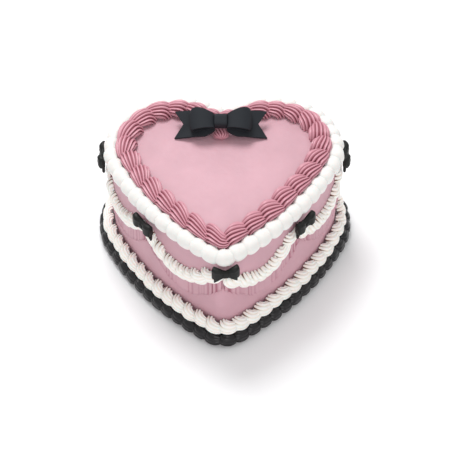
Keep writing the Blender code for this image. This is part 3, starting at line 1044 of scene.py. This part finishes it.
class CAKE_OT_bow_tails(bpy.types.Operator):
    """Flat tails of the large bow, notched at their ends"""
    bl_idname = "cake.bow_tails"
    bl_label = "Bow tails"

    def execute(self, context):
        bow = bow_sizes()
        for side, name in ((-1, "bow_tail_left"), (1, "bow_tail_right")):
            deselect()
            bpy.ops.mesh.primitive_grid_add(x_subdivisions=48, y_subdivisions=30, size=2)
            tail = context.object
            across, part, _ = read_places(tail)
            share = (across + 1) / 2
            inner = bow.knot_half - bow.tuck
            flare = np.minimum(1, 4 * share) ** 0.5
            width = bow.tail_pinch + (bow.tail_half - bow.tail_pinch) * flare
            end = bow.tail_notch + (bow.tail_length - bow.tail_notch) * np.abs(part)
            x = inner + share * (end - inner)
            off = bow.thickness - bow_droop(x) + 0.0003 * np.sin(7 * share + 2 * part)
            set_places(tail, bow_points(side * x, width * part - bow.tail_slip, off))
            if side < 0:
                tail.data.flip_normals()
            finish_strip(tail, bow.thickness)
            tail.name = tail.data.name = "fondant_" + name
            dress(tail, charcoal_fondant(), name)
        return {"FINISHED"}


class CAKE_OT_bow_loops(bpy.types.Operator):
    """Loops of the large bow, each a strip folded over and pinched at the knot"""
    bl_idname = "cake.bow_loops"
    bl_label = "Bow loops"

    def execute(self, context):
        bow = bow_sizes()
        blank = make_blank(72, 24, "NOTHING")
        angle, up_share, _ = blank_places(blank)
        share = (1 - squared(np.cos(angle), 0.75)) / 2
        inner = bow.knot_half - bow.tuck
        x = inner + (bow.loop_length - inner) * share
        drawn_in = 0.0016 * share ** 4 * (2 * up_share - 1) ** 4
        x = x - drawn_in
        arch = np.sin(math.pi * 0.62 * share)
        half = bow.loop_pinch + bow.loop_swell * arch
        low = bow.loop_knot_low + (bow.loop_low - bow.loop_knot_low) * share
        high = bow.loop_knot_high + (bow.loop_high - bow.loop_knot_high) * arch
        up = low + (high - low) * up_share
        lift = bow.thickness + 0.0002
        off = lift - bow_droop(x) + half * (1 + squared(np.sin(angle), 0.7))
        for side, name in ((-1, "bow_loop_left"), (1, "bow_loop_right")):
            loop = shaped_copy(blank, bow_points(side * x, up, off), name)
            loop = join_pieces([loop], "fondant_" + name)
            finish_strip(loop, bow.strip)
            dress(loop, charcoal_fondant(), name)
        remove(blank)
        return {"FINISHED"}


class CAKE_OT_bow_knot(bpy.types.Operator):
    """Band round the middle of the large bow"""
    bl_idname = "cake.bow_knot"
    bl_label = "Bow knot"

    def execute(self, context):
        bow = bow_sizes()
        blank = make_blank(72, 24)
        angle, share, radius = blank_places(blank)
        side = 2 * share - 1
        power = 5
        round_off = 0.86 + 0.14 * (1 - np.abs(side) ** power) ** 0.4
        corners = np.abs(np.cos(angle)) ** power + np.abs(np.sin(angle)) ** power
        reach = radius * round_off * corners ** (-1 / power)
        tall = (bow.knot_top - bow.knot_low) / 2
        deep = (bow.knot_front - bow.knot_back) / 2
        up = (bow.knot_top + bow.knot_low) / 2 + reach * tall * np.cos(angle)
        off = (bow.knot_front + bow.knot_back) / 2 + reach * deep * np.sin(angle)
        knot = shaped_copy(blank, bow_points(bow.knot_half * side, up, off), "fondant_bow_knot")
        remove(blank)
        knot = join_pieces([knot], "fondant_bow_knot")
        dress(knot, charcoal_fondant(), "bow_knot")
        return {"FINISHED"}


# Stage

class CAKE_OT_stage(bpy.types.Operator):
    """Pale floor, soft studio light and the camera"""
    bl_idname = "cake.stage"
    bl_label = "Stage"
    elevation: degrees("Elevation", "Camera's angle above the floor", 46.65)
    turn: degrees("Turn", "Camera's angle round the cake", 1.17)
    roll: degrees("Roll", "Camera's tilt round its view", -0.96)
    distance: metres("Distance", "Camera's distance", 2.004)
    lens: FloatProperty(name="Lens", description="Focal length in millimetres", default=175.9)
    floor_colour: tint("Floor colour", "Colour of the floor", (0.93, 0.93, 0.94))
    daylight: FloatProperty(name="Daylight", description="Strength of the white light", default=0.66)

    def execute(self, context):
        self.add_floor(context)
        world = bpy.data.worlds.new("studio")
        context.scene.world = world
        world.use_nodes = True
        world.node_tree.nodes["Background"].inputs["Color"].default_value = (1, 1, 1, 1)
        world.node_tree.nodes["Background"].inputs["Strength"].default_value = self.daylight
        self.add_lamp("back_light", (-0.30, 0.8, 1.6), 0.7, 21)
        self.add_lamp("front_light", (0.35, -1.6, 1.0), 1.0, 8)
        self.add_camera(context)
        context.scene.view_settings.view_transform = "Standard"
        return {"FINISHED"}

    def add_floor(self, context):
        deselect()
        bpy.ops.mesh.primitive_plane_add(size=12, location=(0, 0, -0.0004))
        floor = context.object
        floor.name = "pale_floor"
        paint = bpy.data.materials.new("pale_floor")
        paint.use_nodes = True
        shader = paint.node_tree.nodes["Principled BSDF"]
        shader.inputs["Base Color"].default_value = (*self.floor_colour, 1)
        shader.inputs["Roughness"].default_value = 0.9
        floor.data.materials.append(paint)

    def add_lamp(self, name, spot, size, power):
        """A square soft light that looks at the cake."""
        lamp = bpy.data.lights.new(name, "AREA")
        lamp.size = size
        lamp.energy = power
        stand = bpy.data.objects.new(name, lamp)
        bpy.context.scene.collection.objects.link(stand)
        stand.location = spot
        stand.rotation_euler = Vector(spot).to_track_quat("Z", "Y").to_euler()

    def add_camera(self, context):
        eye = bpy.data.cameras.new("camera")
        eye.sensor_width = 36
        eye.lens = self.lens
        eye.clip_end = 20
        camera = bpy.data.objects.new("camera", eye)
        context.scene.collection.objects.link(camera)
        away = Vector((0, -math.cos(self.elevation), math.sin(self.elevation))) * self.distance
        camera.matrix_world = (Matrix.Translation((0, outline_middle(), 0))
                               @ Matrix.Rotation(self.turn, 4, "Z") @ Matrix.Translation(away)
                               @ Matrix.Rotation(math.pi / 2 - self.elevation, 4, "X")
                               @ Matrix.Rotation(self.roll, 4, "Z"))
        context.scene.camera = camera


STEPS = (CAKE_OT_body, CAKE_OT_top_shells, CAKE_OT_notch_shell, CAKE_OT_rim_border,
         CAKE_OT_base_border, CAKE_OT_base_shells, CAKE_OT_white_swags, CAKE_OT_pink_ruffles,
         CAKE_OT_small_bows, CAKE_OT_bow_tails, CAKE_OT_bow_loops, CAKE_OT_bow_knot, CAKE_OT_stage)


class CAKE_PT_panel(bpy.types.Panel):
    """Lists the steps that dress the cake"""
    bl_idname = "CAKE_PT_panel"
    bl_label = "Heart cake"
    bl_space_type = "VIEW_3D"
    bl_region_type = "UI"
    bl_category = "Cake"

    def draw(self, context):
        for step in STEPS:
            self.layout.operator(step.bl_idname)


CLASSES = (CakeSizes, BowSizes, IcingColours, *STEPS, CAKE_PT_panel)


def register():
    for kind in CLASSES:
        bpy.utils.register_class(kind)
    bpy.types.Scene.cake_sizes = PointerProperty(type=CakeSizes)
    bpy.types.Scene.bow_sizes = PointerProperty(type=BowSizes)
    bpy.types.Scene.cake_colours = PointerProperty(type=IcingColours)


def unregister():
    del bpy.types.Scene.cake_sizes
    del bpy.types.Scene.bow_sizes
    del bpy.types.Scene.cake_colours
    for kind in reversed(CLASSES):
        bpy.utils.unregister_class(kind)


def main():
    register()
    for step in STEPS:
        group, name = step.bl_idname.split(".")
        getattr(getattr(bpy.ops, group), name)()


if __name__ == "__main__":
    main()
